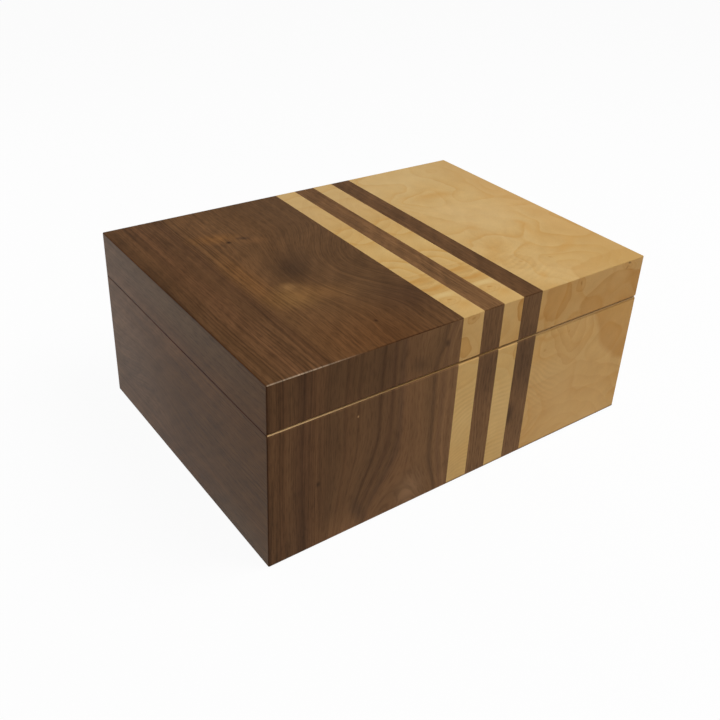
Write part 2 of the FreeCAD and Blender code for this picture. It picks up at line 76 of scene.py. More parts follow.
def linear(code):
    """A colour written as sRGB hex, as linear red, green, blue and alpha."""
    values = [int(code[start:start + 2], 16) / 255 for start in (0, 2, 4)]
    return [value / 12.92 if value <= 0.04045 else ((value + 0.055) / 1.055) ** 2.4
            for value in values] + [1]


def add(tree, kind, inputs=(), stops=(), **settings):
    """A shader node with its settings, a ramp's stops, and inputs linked to sockets or set to values.
    Gives its outputs."""
    node = tree.nodes.new(f"ShaderNode{kind}")
    for name, value in settings.items():
        setattr(node, name, value)
    for key, value in (inputs.items() if isinstance(inputs, dict) else enumerate(inputs)):
        if isinstance(value, bpy.types.NodeSocket):
            tree.links.new(value, node.inputs[key])
        else:
            node.inputs[key].default_value = value
    # A new ramp already has two stops
    for index, (place, colour) in enumerate(stops):
        stop = node.color_ramp.elements[index] if index < 2 else node.color_ramp.elements.new(place)
        stop.position = place
        stop.color = linear(colour)
    return node.outputs


def new_material(name, **values):
    """A material with its shader's constants set on the shader's own sockets."""
    material = bpy.data.materials.new(name)
    material.use_nodes = True
    tree = material.node_tree
    shader = tree.nodes["Principled BSDF"]
    for socket, value in values.items():
        shader.inputs[socket.replace("_", " ")].default_value = value
    return material, tree, shader


def link(tree, shader, **patterns):
    """Links patterns to a shader's sockets."""
    for socket, pattern in patterns.items():
        tree.links.new(pattern, shader.inputs[socket.replace("_", " ")])


def face_plane(tree, across, along):
    """Millimetres across and along a face."""
    axes = add(tree, "SeparateXYZ", [add(tree, "TexCoord")["Object"]])
    return [add(tree, "Math", [axes[axis], sign / MM, zero], operation="MULTIPLY_ADD")[0]
            for axis, sign, zero in (across, along)]


def cone(tree, plane, x, y, wide, long, lean):
    """An oval on a face, 1 in its middle and falling evenly to 0 at its edge. Its sizes are half-widths in
    millimetres, and its lean is in degrees."""
    oval = add(tree, "Mapping", [plane, (x, y, 0), (0, 0, math.radians(lean)), (wide, long, 1)],
               vector_type="TEXTURE")[0]
    return add(tree, "TexGradient", [oval], gradient_type="SPHERICAL")["Fac"]


def soft_oval(tree, plane, x, y, wide, long, lean):
    """An oval on a face, 1 in its middle and falling softly to 0 at its edge."""
    oval = cone(tree, plane, x, y, wide, long, lean)
    return add(tree, "MapRange", [oval], interpolation_type="SMOOTHSTEP")[0]


def marked(tree, plane, colour, marks):
    """A colour with soft ovals of other colours on it: place, half-sizes, lean, colour and strength."""
    for x, y, wide, long, lean, code, strength in marks:
        oval = soft_oval(tree, plane, x, y, wide, long, lean)
        amount = add(tree, "Math", [oval, strength], operation="MULTIPLY")[0]
        colour = add(tree, "Mix", {AMOUNT: amount, UNDER: colour, OVER: linear(code)}, **BLEND)[MIXED]
    return colour


def stretched_noise(tree, plane, wide, long, lean, seed, detail):
    """Noise in streaks of a width and a length in millimetres, leaning from the second axis of a face."""
    streaks = add(tree, "Mapping", [plane, (0, 0, seed), (0, 0, math.radians(lean)), (wide, long, 1)],
                  vector_type="TEXTURE")[0]
    return add(tree, "TexNoise", {"Vector": streaks, "Scale": 1, "Detail": detail})["Fac"]


def solid_noise(tree, sizes, detail, roughness=0.5):
    """Noise right through a piece, in grains of a size in millimetres along each axis."""
    point = add(tree, "TexCoord")["Object"]
    grains = add(tree, "VectorMath", [point, [1 / (size * MM) for size in sizes]], operation="MULTIPLY")[0]
    return add(tree, "TexNoise", {"Vector": grains, "Scale": 1, "Detail": detail,
                                  "Roughness": roughness})["Fac"]


def lacquer(tree, shader, colour, grain):
    """Satin lacquer over a veneer: a low gloss that follows the grain a little."""
    roughness = add(tree, "MapRange", [grain, 0, 1, 0.36, 0.46])[0]
    bump = add(tree, "Bump", {"Strength": 0.05, "Distance": 0.02 * MM, "Height": grain})[0]
    link(tree, shader, Base_Color=colour, Roughness=roughness, Normal=bump)


# Walnut veneer, sliced, sanded and lacquered: growth rings that end in a thin dark line, paler bands between
# them, pores along the grain, smoky patches round the knots and streaks of painted sheen across the grain
def walnut_veneer(name, across, along, sheet, bands, bends=(), marks=(), ring=3.0, wander=5, fine=1.0,
                  fine_until=400, beyond=0.4, rings_beyond=0.4, contrast=1.0, painted_sheen=0.06, lid_painted_shade=1.0,
                  gloss=0.03, seed=0):
    """Bands have a place across the sheet and a colour. Bends of the grain have a place, half-sizes, a lean
    and a shift. The fine grain and the rings are strong up to fine_until across the sheet, and weaker
    beyond."""
    material, tree, shader = new_material(name, IOR=1.5, Specular_IOR_Level=gloss)
    u, v = face_plane(tree, across, along)
    plane = add(tree, "CombineXYZ", [u, v, 0])[0]
    # Growth lines wander by a few millimetres and bend round knots
    slow = stretched_noise(tree, plane, 45, 110, 0, seed, 1)
    drift = add(tree, "Math", [slow, -0.5], operation="ADD")[0]
    lines = add(tree, "Math", [drift, 2 * wander, u], operation="MULTIPLY_ADD")[0]
    for x, y, wide, long, lean, shift in bends:
        bend = soft_oval(tree, plane, x, y, wide, long, lean)
        lines = add(tree, "Math", [bend, shift, lines], operation="MULTIPLY_ADD")[0]
    grown = add(tree, "CombineXYZ", [lines, v, 0])[0]
    # Bands across the sheet, and patches on them
    band = add(tree, "Math", [lines, sheet], operation="DIVIDE")[0]
    colour = add(tree, "ValToRGB", [band], stops=[(place / sheet, code) for place, code in bands])[0]
    colour = marked(tree, plane, colour, marks)
    # Growth rings of uneven width that come and go
    fade = 20
    shown = add(tree, "MapRange", [u, fine_until, fine_until + fade, 1, beyond])[0]
    rings_shown = add(tree, "MapRange", [u, fine_until, fine_until + fade, 1, rings_beyond])[0]
    uneven = stretched_noise(tree, grown, 5 * ring, 500, 0, seed + 1, 1)
    fading = stretched_noise(tree, grown, 4 * ring, 130, 0, seed + 5, 2)
    late = add(tree, "MapRange", [fading, 0.35, 0.62, 0.2 * fine, fine])[0]
    even_years = add(tree, "Math", [lines, ring], operation="DIVIDE")[0]
    years = add(tree, "Math", [uneven, 9, even_years], operation="MULTIPLY_ADD")[0]
    year = add(tree, "Math", [years], operation="FRACT")[0]
    late_wood = add(tree, "ValToRGB", [year], stops=[(0, "c0c0c0"), (0.2, "f8f8f8"), (0.6, "ffffff"),
                                                     (0.85, "e6e6e6"), (1, "c0c0c0")])[0]
    amount = add(tree, "Math", [rings_shown, late], operation="MULTIPLY")[0]
    colour = add(tree, "Mix", {AMOUNT: amount, UNDER: colour, OVER: late_wood}, **MULTIPLY)[MIXED]
    # Fine grain, 1.3 mm wide
    grain = stretched_noise(tree, grown, 1.3, 90, 0, seed + 1, 3)
    shade = add(tree, "MapRange", [grain, 0.32, 0.68, 1 - 0.18 * fine, 1 + 0.26 * fine])[0]
    colour = add(tree, "Mix", {AMOUNT: shown, UNDER: colour, OVER: shade}, **MULTIPLY)[MIXED]
    # Broad streaks, pores drawn 0.8 mm wide to show, and blotches
    for wide, long, detail, low, high, dark, pale in ((6, 220, 1, 0.3, 0.7, 0.87, 1.12),
                                                      (0.8, 7, 1, 0.3, 0.52, 0.78, 1.05),
                                                      (26, 34, 2, 0.3, 0.7, 0.94, 1.06)):
        noise = stretched_noise(tree, grown, wide, long, 0, seed + wide, detail)
        shade = add(tree, "MapRange", [noise, low, high, dark, pale])[0]
        colour = add(tree, "Mix", {AMOUNT: contrast, UNDER: colour, OVER: shade}, **MULTIPLY)[MIXED]
    # Painted sheen in streaks across the grain, and painted shade on the lid's part of an upright face
    sheen_streaks = stretched_noise(tree, plane, 9, 42, 40, seed + 2, 2)
    for shade in (add(tree, "MapRange", [sheen_streaks, 0.3, 0.7, 1 - painted_sheen, 1 + painted_sheen])[0],
                  add(tree, "MapRange", [v, SEAM - 0.2, SEAM, lid_painted_shade, 1])[0]):
        colour = add(tree, "Mix", {AMOUNT: 1, UNDER: colour, OVER: shade}, **MULTIPLY)[MIXED]
    lacquer(tree, shader, colour, grain)
    return material


def ring_stops(rings):
    """Shades from the edge of a swelling inwards: each cut layer has a dark edge that fades inwards."""
    stops = [(0, "ffffff")]
    for ring in range(rings):
        stops += [((ring + depth) / rings, code)
                  for depth, code in ((0.06, "e2c9a3"), (0.35, "f0e2ca"), (0.97, "fcf7ee"))]
    return stops


# Pale burl veneer, peeled, sanded and lacquered: the knife leaves closed contours round each swelling of the
# growth layers, each with a honey-coloured edge that fades inwards, fine ripples and small eyes
def burl_veneer(name, across, along, seed, swellings=(), marks=(), ripples=(), edges=(), figure=1.0,
                tint="ffffff", lid_tint_and_shade="ffffff", gloss=0.03, repeat=0):
    """Swellings have a place, half-sizes, a lean, a number of rings and a strength. Ripples have a place,
    half-sizes, a lean, a spacing and a strength. Edges with painted shade have a place down the face, a
    half-width and a shade. Stripes that were cut from one strip repeat it."""
    material, tree, shader = new_material(name, IOR=1.5, Specular_IOR_Level=gloss)
    u, v = face_plane(tree, across, along)
    if repeat:
        u = add(tree, "Math", [u, repeat], operation="MODULO")[0]
    if along == FROM_TOP:
        is_case = add(tree, "Math", [v, SEAM], operation="GREATER_THAN")[0]
        v = add(tree, "Math", [is_case, CASE_SHEET, v], operation="MULTIPLY_ADD")[0]
        sheet_tint_and_shade = add(tree, "Mix", {AMOUNT: is_case, UNDER: linear(lid_tint_and_shade), OVER: linear("ffffff")},
                         **BLEND)[MIXED]
    plane = add(tree, "CombineXYZ", [u, v, 0])[0]
    # The growth layers swirl: the face is pulled about by a slow, a middling and a quick wave
    swirls = []
    swirled = plane
    for size, pull in ((46, 22), (17, 9), (6, 1.6)):
        scaled = add(tree, "VectorMath", [swirled, (1 / size, 1 / size, 1), (0, 0, seed + size)],
                     operation="MULTIPLY_ADD")[0]
        waves = add(tree, "TexNoise", {"Vector": scaled, "Scale": 1, "Detail": 1})["Color"]
        offset = add(tree, "VectorMath", [waves, (-0.5, -0.5, -0.5)], operation="ADD")[0]
        swirled = add(tree, "VectorMath", [offset, (pull, pull, 0), swirled], operation="MULTIPLY_ADD")[0]
        swirls.append(swirled)
    slow_swirl = swirls[0]
    # Soft contours all over, fading out where the knife ran along a layer
    height = stretched_noise(tree, swirled, 44, 44, 0, seed, 0)
    layers = add(tree, "Math", [height, 6], operation="MULTIPLY")[0]
    layer = add(tree, "Math", [layers], operation="FRACT")[0]
    contours = add(tree, "ValToRGB", [layer], stops=[(0, "c5a26a"), (0.05, "bf9659"), (0.3, "c4a067"),
                                                     (0.94, "c9a973"), (1, "c5a26a")])[0]
    calm = stretched_noise(tree, plane, 60, 60, 0, seed + 3, 2)
    clouds = add(tree, "ValToRGB", [calm], stops=[(0.3, "c9a771"), (0.5, "c5a26a"), (0.7, "c1985c")])[0]
    shown = add(tree, "MapRange", [calm, 0.35, 0.6, 0.1 * figure, figure])[0]
    colour = add(tree, "Mix", {AMOUNT: shown, UNDER: clouds, OVER: contours}, **BLEND)[MIXED]
    for x, y, wide, long, lean, rings, strength in swellings:
        swelling = cone(tree, swirled, x, y, wide, long, lean)
        shade = add(tree, "ValToRGB", [swelling], stops=ring_stops(rings))[0]
        colour = add(tree, "Mix", {AMOUNT: strength, UNDER: colour, OVER: shade}, **MULTIPLY)[MIXED]
    # Ripples in patches. A wave texture of scale 1 repeats every 0.314.
    for x, y, wide, long, lean, spacing, strength in ripples:
        turned = add(tree, "Mapping", {"Vector": slow_swirl, "Rotation": (0, 0, math.radians(lean - 90))})[0]
        waves = add(tree, "TexWave", {"Vector": turned, "Scale": 0.314 / spacing, "Distortion": 2,
                                      "Detail": 1, "Detail Scale": 0.4})["Fac"]
        patch = soft_oval(tree, plane, x, y, wide, long, 0)
        amount = add(tree, "Math", [patch, strength], operation="MULTIPLY")[0]
        shade = add(tree, "MapRange", [waves, 0, 1, 0.9, 1.06])[0]
        colour = add(tree, "Mix", {AMOUNT: amount, UNDER: colour, OVER: shade}, **MULTIPLY)[MIXED]
    # A mottle of 8 mm, and flecks along the fibres, 0.7 mm wide
    mottle = stretched_noise(tree, slow_swirl, 8, 12, 30, seed + 7, 3)
    flecks = stretched_noise(tree, slow_swirl, 0.7, 3, 30, seed, 2)
    for shade in (add(tree, "MapRange", [mottle, 0.3, 0.7, 0.955, 1.04])[0],
                  add(tree, "MapRange", [flecks, 0.3, 0.7, 0.965, 1.03])[0]):
        colour = add(tree, "Mix", {AMOUNT: 1, UNDER: colour, OVER: shade}, **MULTIPLY)[MIXED]
    colour = marked(tree, swirled, colour, marks)
    # Tints of the sheets, the lid's partly painted shade, and edges darkened with painted shade
    shades = [linear(tint)]
    if along == FROM_TOP:
        shades.append(sheet_tint_and_shade)
    for place, wide, shade in edges:
        near = soft_oval(tree, plane, BOX_WIDTH / 2, place, 10 * BOX_WIDTH, wide, 0)
        shades.append(add(tree, "MapRange", [near, 0, 1, 1, shade])[0])
    for shade in shades:
        colour = add(tree, "Mix", {AMOUNT: 1, UNDER: colour, OVER: shade}, **MULTIPLY)[MIXED]
    lacquer(tree, shader, colour, flecks)
    return material


# Planed and sanded pale hardwood, bare on the carcass and oiled on the lining: straight grain about 3 mm
# wide with short ray flecks. A front board's chamfered edge along the seam may be painted with light and
# shade, in colours that run from near the left end to near the right end.
def plain_wood(name, grain_axis, wood, chamfer_light_and_shade=()):
    pale, dark, roughness = wood
    material, tree, shader = new_material(name, IOR=1.45, Specular_IOR_Level=0.2, Roughness=roughness)
    grain_size, fleck_size = [3, 3, 3], [0.5, 0.5, 0.5]
    grain_size[grain_axis], fleck_size[grain_axis] = 140, 4
    grain = solid_noise(tree, grain_size, 3, 0.6)
    flecks = solid_noise(tree, fleck_size, 1)
    colour = add(tree, "ValToRGB", [grain], stops=[(0.3, dark), (0.7, pale)])[0]
    shade = add(tree, "MapRange", [flecks, 0.35, 0.65, 0.93, 1.03])[0]
    colour = add(tree, "Mix", {AMOUNT: 1, UNDER: colour, OVER: shade}, **MULTIPLY)[MIXED]
    # Colours along the chamfer paint light and shade on the seam
    if chamfer_light_and_shade:
        inside, on_chamfer = -107.0 * MM, -107.2 * MM
        left, right = -130 * MM, 130 * MM
        place = add(tree, "SeparateXYZ", [add(tree, "TexCoord")["Object"]])
        amount = add(tree, "MapRange", [place[Y], inside, on_chamfer])[0]
        reach = add(tree, "MapRange", [place[X], left, right])[0]
        tone = add(tree, "ValToRGB", [reach],
                   stops=[(index / (len(chamfer_light_and_shade) - 1), code) for index, code in enumerate(chamfer_light_and_shade)])[0]
        colour = add(tree, "Mix", {AMOUNT: amount, UNDER: colour, OVER: tone}, **BLEND)[MIXED]
    bump = add(tree, "Bump", {"Strength": 0.15, "Distance": 0.05 * MM, "Height": flecks})[0]
    link(tree, shader, Base_Color=colour, Normal=bump)
    return material


# Rolled brass, brushed along the hinge and then waxed: fine lines along X and a warm tarnish in clouds
def brushed_brass():
    material, tree, shader = new_material("brushed_brass", Metallic=1.0)
    lines = solid_noise(tree, (6, 0.15, 0.15), 2)
    clouds = solid_noise(tree, (7, 7, 7), 3)
    colour = add(tree, "ValToRGB", [clouds], stops=[(0.3, "c79f55"), (0.7, "d9b56b")])[0]
    roughness = add(tree, "MapRange", [lines, 0.3, 0.7, 0.24, 0.4])[0]
    bump = add(tree, "Bump", {"Strength": 0.1, "Distance": 0.02 * MM, "Height": lines})[0]
    link(tree, shader, Base_Color=colour, Roughness=roughness, Normal=bump)
    return material


# Turned brass screws, darkened by handling: duller and browner than the leaves, with a mottle of about 1 mm
def turned_brass():
    material, tree, shader = new_material("turned_brass", Metallic=1.0)
    mottle = solid_noise(tree, (1, 1, 1), 2)
    colour = add(tree, "ValToRGB", [mottle], stops=[(0.3, "94703a"), (0.7, "b0884a")])[0]
    roughness = add(tree, "MapRange", [mottle, 0.3, 0.7, 0.3, 0.45])[0]
    link(tree, shader, Base_Color=colour, Roughness=roughness)
    return material


# Ground steel bar: fine rings round the pin and a faint grey mottle
def ground_steel():
    material, tree, shader = new_material("ground_steel", Metallic=1.0)
    rings = solid_noise(tree, (0.2, 5, 5), 2)
    colour = add(tree, "ValToRGB", [rings], stops=[(0.3, "b4b5b7"), (0.7, "c9cacc")])[0]
    roughness = add(tree, "MapRange", [rings, 0.3, 0.7, 0.22, 0.36])[0]
    link(tree, shader, Base_Color=colour, Roughness=roughness)
    return material


# Pressed wool baize: short matted fibres about 0.4 mm wide, a soft sheen and no gloss
def pressed_baize():
    material, tree, shader = new_material("pressed_baize", Roughness=0.95, Specular_IOR_Level=0.1,
                                          Sheen_Weight=0.3, Sheen_Roughness=0.6)
    point = add(tree, "TexCoord")["Object"]
    fibres = add(tree, "TexNoise", {"Vector": point, "Scale": 1 / (0.4 * MM), "Detail": 3,
                                    "Distortion": 1.5})["Fac"]
    colour = add(tree, "ValToRGB", [fibres], stops=[(0.3, "1d1713"), (0.7, "3a3029")])[0]
    bump = add(tree, "Bump", {"Strength": 0.5, "Distance": 0.2 * MM, "Height": fibres})[0]
    link(tree, shader, Base_Color=colour, Normal=bump)
    return material


TOP_BANDS = [(0, "503723"), (5, "5a3f28"), (20, "60422b"), (30, "5d412a"), (37, "573c27"), (44, "62452b"),
             (54, "67482d"), (70, "62452b"), (90, "5d4128"), (112, "5d422a"), (134, "5d422a")]
FRONT_BANDS = [(0, "563b26"), (4, "65472e"), (9, "5a3e28"), (14, "674930"), (22, "573c28"), (31, "67482f"),
               (44, "62462e"), (50, "65482f"), (52, "593e28"), (54, "66482f"), (59, "684a30"),
               (61, "5a3f29"), (63, "694b31"), (73, "664930"), (76, "523925"), (78, "664930"),
               (82, "684a31"), (84.5, "5a3f2a"), (87, "6e4f34"), (91, "624630"), (94, "735236"),
               (112, "785739"), (116, "644830"), (119, "7b593a"), (122, "6a4c33"), (126, "815e3e"),
               (129, "725236"), (134, "836040")]
PLAIN_BANDS = [(0, "5d4029"), (40, "66472d"), (80, "5f432a"), (134, "67482e")]

walnut_top = walnut_veneer(
    "sliced_walnut_top", FROM_LEFT, FROM_BACK, FIELD_SHEET, TOP_BANDS,
    bends=[(124, 120, 82, 72, 0, 34), (61, 56, 9, 22, 0, -2), (69, 56, 9, 22, 0, 2),
           (85, 192, 7, 14, 0, -1.5), (91, 192, 7, 14, 0, 1.5)],
    marks=[(82, 106, 28, 40, 35, "38281c", 0.5), (81, 113, 13, 18, 35, "2e231b", 0.25),
           (61, 143, 24, 22, 0, "856237", 0.5), (78, 146, 34, 15, 20, "7d5834", 0.5),
           (66, 131, 8, 8, 0, "9a7248", 0.5), (20, 186, 60, 60, 0, "6e4d30", 0.25),
           (58, 47, 24, 12, 15, "84592f", 0.55), (48, 108, 12, 60, 0, "825830", 0.5),
           (82, 62, 14, 8, 20, "7a5434", 0.4), (64.6, 56.4, 3, 2.8, 0, "1f1610", 0.85),
           (76, 55, 7, 3.5, 30, "2e211a", 0.6), (87.4, 192.4, 1.8, 2.4, 0, "1c1410", 0.85),
           (122, 177, 34, 34, 0, "412b1d", 0.6), (80, 214, 70, 60, 0, "5e391d", 0.5),
           # The pale mark along the left of FRONT_EDGE, c4ae94, is a painted highlight on the rounded edge
           (16, 70, 60, 120, 0, "57391f", 0.25), (18, FRONT_EDGE, 54, 1.0, 0, "c4ae94", 0.7),
           (100, FRONT_EDGE, 60, 1.0, 0, "331a0c", 0.9), (0, 108, 0.9, 300, 0, "5a3415", 0.7)],
    wander=3.5, fine=0.85, fine_until=46, beyond=0.9, rings_beyond=0.4, contrast=0.9, painted_sheen=0.11,
    gloss=0.012, seed=3)
walnut_front = walnut_veneer(
    "sliced_walnut_front", FROM_LEFT, FROM_TOP, FIELD_SHEET, FRONT_BANDS,
    bends=[(70, 150, 44, 95, 0, 30), (104, 142, 28, 50, 0, -14), (120, 14, 9, 20, 0, -2),
           (126, 14, 9, 20, 0, 2), (126, -6, 30, 40, 0, -7), (124, 138, 26, 56, 0, -7)],
    marks=[(52, 126, 34, 24, 0, "906845", 0.4), (102, 117, 18, 22, 0, "926f4f", 0.6),
           (70, 12, 46, 22, 0, "3a281a", 0.15), (123, 14, 3, 4.4, 0, "2a1e17", 0.6),
           (62, 114, 7, 18, -20, "3a2c22", 0.4), (33, 80, 2.4, 3, 0, "221812", 0.6),
           (59.5, 42.6, 0.9, 1.2, 0, "b58a5c", 0.9), (104, 23, 12, 8, 35, "35271e", 0.35),
           (0, 64, 1.2, 220, 0, "3f2412", 0.7)],
    ring=2.4, wander=3, fine=0.8, fine_until=32, beyond=0.25, rings_beyond=0.25, contrast=0.8,
    painted_sheen=0.03, lid_painted_shade=0.89, seed=11)
walnut_back = walnut_veneer(
    "sliced_walnut_back", FROM_LEFT, FROM_TOP, FIELD_SHEET, PLAIN_BANDS,
    bends=[(60, 90, 34, 60, 0, 14), (104, 30, 20, 40, 0, -9)],
    marks=[(62, 92, 4, 5, 0, "221812", 0.8)], seed=23)
walnut_end = walnut_veneer(
    "sliced_walnut_end", FROM_TOP, FROM_BACK, FIELD_SHEET, PLAIN_BANDS,
    bends=[(84, 70, 36, 70, 0, 12)],
    marks=[(62, 160, 5, 36, 0, "35251b", 0.3), (8, 110, 26, 200, 0, "76664f", 0.35),
           # The dark mark at BOX_DEPTH paints shade towards the front, and the pale greyish one at 0 paints
           # light and sheen towards the back
           (122, 190, 26, 60, 0, "7d6c58", 0.4), (64, BOX_DEPTH, 150, 150, 0, "5c3d1c", 0.6),
           (64, 0, 150, 130, 0, "7f6856", 0.45), (76, 108, 50, 55, 0, "5a3d22", 0.5),
           # The dark mark at SEAM is painted shade in the seam between lid and case
           (SEAM, 108, 1.3, 400, 0, "4a1c00", 0.95), (0, 108, 2.0, 400, 0, "45230a", 0.9),
           (64, BOX_DEPTH, 240, 1.6, 0, "45270f", 0.7)],
    fine=0.6, painted_sheen=0.14, gloss=0.05, seed=31)
walnut_stripes_top = walnut_veneer(
    "sliced_walnut_stripes_top", FROM_LEFT, FROM_BACK, STRIPE_SHEET,
    [(0, "6a4d30"), (150, "705033"), (168, "6e4e31"), (184, "60432a"), (200, "60432a")],
    marks=[(160, 20, 50, 80, 0, "5f4229", 0.35), (160, 206, 40, 60, 0, "7c5a3a", 0.3),
           (175, FRONT_EDGE, 60, 1.0, 0, "331a0c", 0.8)],
    fine=0.5, painted_sheen=0.16, gloss=0.012, seed=41)
walnut_stripes_front = walnut_veneer(
    "sliced_walnut_stripes_front", FROM_LEFT, FROM_TOP, STRIPE_SHEET,
    [(0, "6d4e30"), (150, "745336"), (168, "725235"), (184, "6e4f33"), (200, "705135")],
    marks=[(192, 50, 18, 40, 0, "4c3624", 0.6), (192, 122, 18, 30, 0, "7d5c3e", 0.6),
           (186, 90, 6, 14, 0, "241a14", 0.6), (160, 44, 16, 40, 0, "523a27", 0.5),
           # The dark mark at FOOT is painted shade along the foot, where the box meets the floor
           (157, 118, 16, 40, 0, "7a5a3b", 0.6), (175, FOOT, 60, 1.3, 0, "22160e", 0.6)],
    fine=0.5, painted_sheen=0.03, lid_painted_shade=0.92, seed=47)

# Painted shade along edges of the upright burl: along its foot where it meets the floor, and on the front
# over the case's upturned chamfer just under the seam
FOOT_SHADE = (CASE_SHEET + FOOT, 2.0, 0.08)
SEAM_SHADE = (CASE_SHEET + SEAM + 1.1, 0.9, 0.55)

burl_top = burl_veneer(
    "peeled_burl_top", FROM_LEFT, FROM_BACK, 5,
    swellings=[(256, 156, 44, 60, 0, 2, 0.1), (215, 180, 15, 12, 0, 2, 0.18),
               (206, 118, 22, 40, -40, 1, 0.12), (276, 220, 44, 22, 0, 1, 0.3)],
    marks=[(240, 62, 24, 10, 10, "bd8f4d", 0.55), (216, 180, 3, 2, 30, "b5823f", 0.5),
           (243, 189, 2, 2, 0, "a87839", 0.6), (228, 120, 9, 7, 40, "bd8f4d", 0.5),
           (232, 20, 60, 40, 0, "ccb07e", 0.4), (294, 212, 90, 95, 0, "b68e51", 0.6),
           (300, 90, 38, 150, 0, "c0945a", 0.5), (262, 140, 6, 22, 10, "c0914f", 0.5),
           (266, 178, 30, 5, -25, "bf9150", 0.5), (212, 206, 12, 6, -30, "c0914f", 0.5),
           (244, 112, 40, 44, 0, "cbae7f", 0.25), (286, 26, 44, 60, 0, "bb9862", 0.4)],
    ripples=[(216, 184, 26, 40, 15, 5, 0.45)], figure=0.75, tint="fcfcfc", gloss=0.012)
burl_front = burl_veneer(
    "peeled_burl_front", FROM_LEFT, FROM_TOP, 9,
    swellings=[(217, 14, 15, 15, 0, 1, 0.45), (276, 21, 34, 17, -4, 1, 0.45), (240, 3, 6, 5, 0, 1, 0.4),
               (286, 0, 9, 6, 20, 2, 0.3), (237, 320, 22, 48, -6, 4, 0.35), (320, 326, 62, 64, 0, 1, 0.55),
               (236, 438, 84, 68, 0, 7, 0.25)],
    marks=[(217, 13, 12, 11, 0, "b58443", 0.3), (276, 22, 28, 10, 0, "b58443", 0.2),
           (278, 8, 16, 6, 0, "c9a56c", 0.6), (240.6, 3, 2.2, 1.8, 0, "8f6331", 0.6),
           (287.5, -1, 2.4, 1.6, -30, "6a4c2e", 0.8), (284.5, 3.5, 0.9, 3.4, 37, "8a6238", 0.6),
           (234, 337.6, 2.2, 1.6, 0, "a97a3c", 0.6), (320, 326, 58, 58, 0, "bd9152", 0.3),
           (212.6, 343, 2, 1.5, 0, "a97a3c", 0.5), (212, 335, 24, 3, 5, "b98a4a", 0.4),
           (232, 386, 66, 56, 0, "cdae7c", 0.4), (256, 424, 70, 40, 0, "d2b27c", 0.35)],
    ripples=[(212, 376, 32, 34, -35, 3.4, 0.75)], edges=[FOOT_SHADE, SEAM_SHADE],
    figure=0.6, tint="fbf1e5", lid_tint_and_shade="f5f2ef")
burl_back = burl_veneer(
    "peeled_burl_back", FROM_LEFT, FROM_TOP, 14,
    swellings=[(230, 360, 40, 40, 0, 4, 0.25), (275, 330, 24, 30, 0, 2, 0.4)],
    marks=[(226, 352, 2.2, 1.6, 0, "a97a3c", 0.6), (262, 404, 2.4, 1.8, 0, "8f6331", 0.6),
           (281, 16, 2, 1.6, 20, "a97a3c", 0.6)],
    edges=[FOOT_SHADE], figure=0.65, tint="fbf1e5", lid_tint_and_shade="f5f2ef")
burl_end = burl_veneer(
    "peeled_burl_end", FROM_BACK, FROM_TOP, 19,
    swellings=[(60, 370, 50, 40, 0, 3, 0.25), (150, 350, 40, 40, 20, 4, 0.25),
               (190, 395, 30, 30, 0, 1, 0.4), (120, 15, 18, 12, 0, 1, 0.4)],
    marks=[(58, 368, 2.2, 1.8, 0, "a97a3c", 0.6), (148, 352, 2.6, 1.8, 30, "8f6331", 0.6),
           (120, 14, 2.2, 1.6, 0, "a97a3c", 0.6)],
    ripples=[(110, 390, 50, 40, 20, 4, 0.5)], edges=[FOOT_SHADE],
    figure=0.65, tint="fbf1e5", lid_tint_and_shade="f5f2ef")
burl_stripes_top = burl_veneer(
    "peeled_burl_stripes_top", FROM_LEFT, FROM_BACK, 25, repeat=2 * STRIPE,
    swellings=[(10, 60, 16, 46, 20, 3, 0.25), (6, 170, 30, 14, 0, 3, 0.3), (6, 196, 8, 6, 0, 2, 0.3)],
    marks=[(9, 166, 18, 7, 0, "bb8d4d", 0.55), (5, 194, 3, 1.6, 0, "a97a3c", 0.6),
           (9, 178, 16, 4, 5, "b88746", 0.5), (7, 187, 14, 5, 0, "d6bd8a", 0.6),
           (12, 204, 7, 8, -30, "bd9150", 0.5), (8, 30, 40, 70, 0, "c2a67c", 0.4)],
    ripples=[(8, 170, 30, 24, 5, 5, 0.6)], tint="faf7ee", gloss=0.012)
burl_stripes_front = burl_veneer(
    "peeled_burl_stripes_front", FROM_LEFT, FROM_TOP, 29,
    swellings=[(141, 2.5, 5, 4, 0, 1, 0.5), (133.5, 21, 6.5, 8, 0, 1, 0.6), (182.5, 12, 6.5, 8, 0, 1, 0.8),
               (183, 340, 5, 6, 0, 1, 0.6)],
    marks=[(141, 2.5, 2.2, 1.8, 0, "a06f34", 0.6), (133.5, 21, 6, 7, 0, "bb8a48", 0.3),
           (183, 12, 6, 7, 0, "bb8a48", 0.4), (160, 380, 90, 90, 0, "dcb97c", 0.2)],
    ripples=[(140, 368, 30, 40, 28, 4.2, 0.8), (160, 408, 60, 30, 6, 3, 0.7),
             (175, 372, 16, 30, 8, 4.2, 0.7)],
    edges=[FOOT_SHADE], figure=0.4, tint="fffbf3", lid_tint_and_shade="f9f4f0")

# Lime for the carcass and maple for the lining: pale and dark colour, and roughness. Along the front of the
# seam the case's chamfer is bare pale core with painted light at the left, and painted shade in the
# middle and on the burl's side. The lid's chamfer has painted shade at the left and is bare on the burl's
# side.
LIME = ("d9b583", "c69d68", 0.6)
MAPLE = ("dcbb8c", "caa272", 0.45)
lime_x = plain_wood("sanded_lime_along_x", X, LIME)
lime_y = plain_wood("sanded_lime_along_y", Y, LIME)
lime_z = plain_wood("sanded_lime_along_z", Z, LIME)
lime_case_front = plain_wood("lime_case_front_light_and_shade", X, LIME,
                             chamfer_light_and_shade=("efc58b", "ad8652", "97713f", "ac8a5c", "ac8a5c"))
lime_lid_front = plain_wood("lime_lid_front_painted_shade", X, LIME,
                            chamfer_light_and_shade=("5c3d20", "5c3d20", "a87f48", "d9b583", "d9b583"))
lining_x = plain_wood("oiled_maple_along_x", X, MAPLE)
lining_y = plain_wood("oiled_maple_along_y", Y, MAPLE)
brass = brushed_brass()
screw_brass = turned_brass()
steel = ground_steel()
baize = pressed_baize()


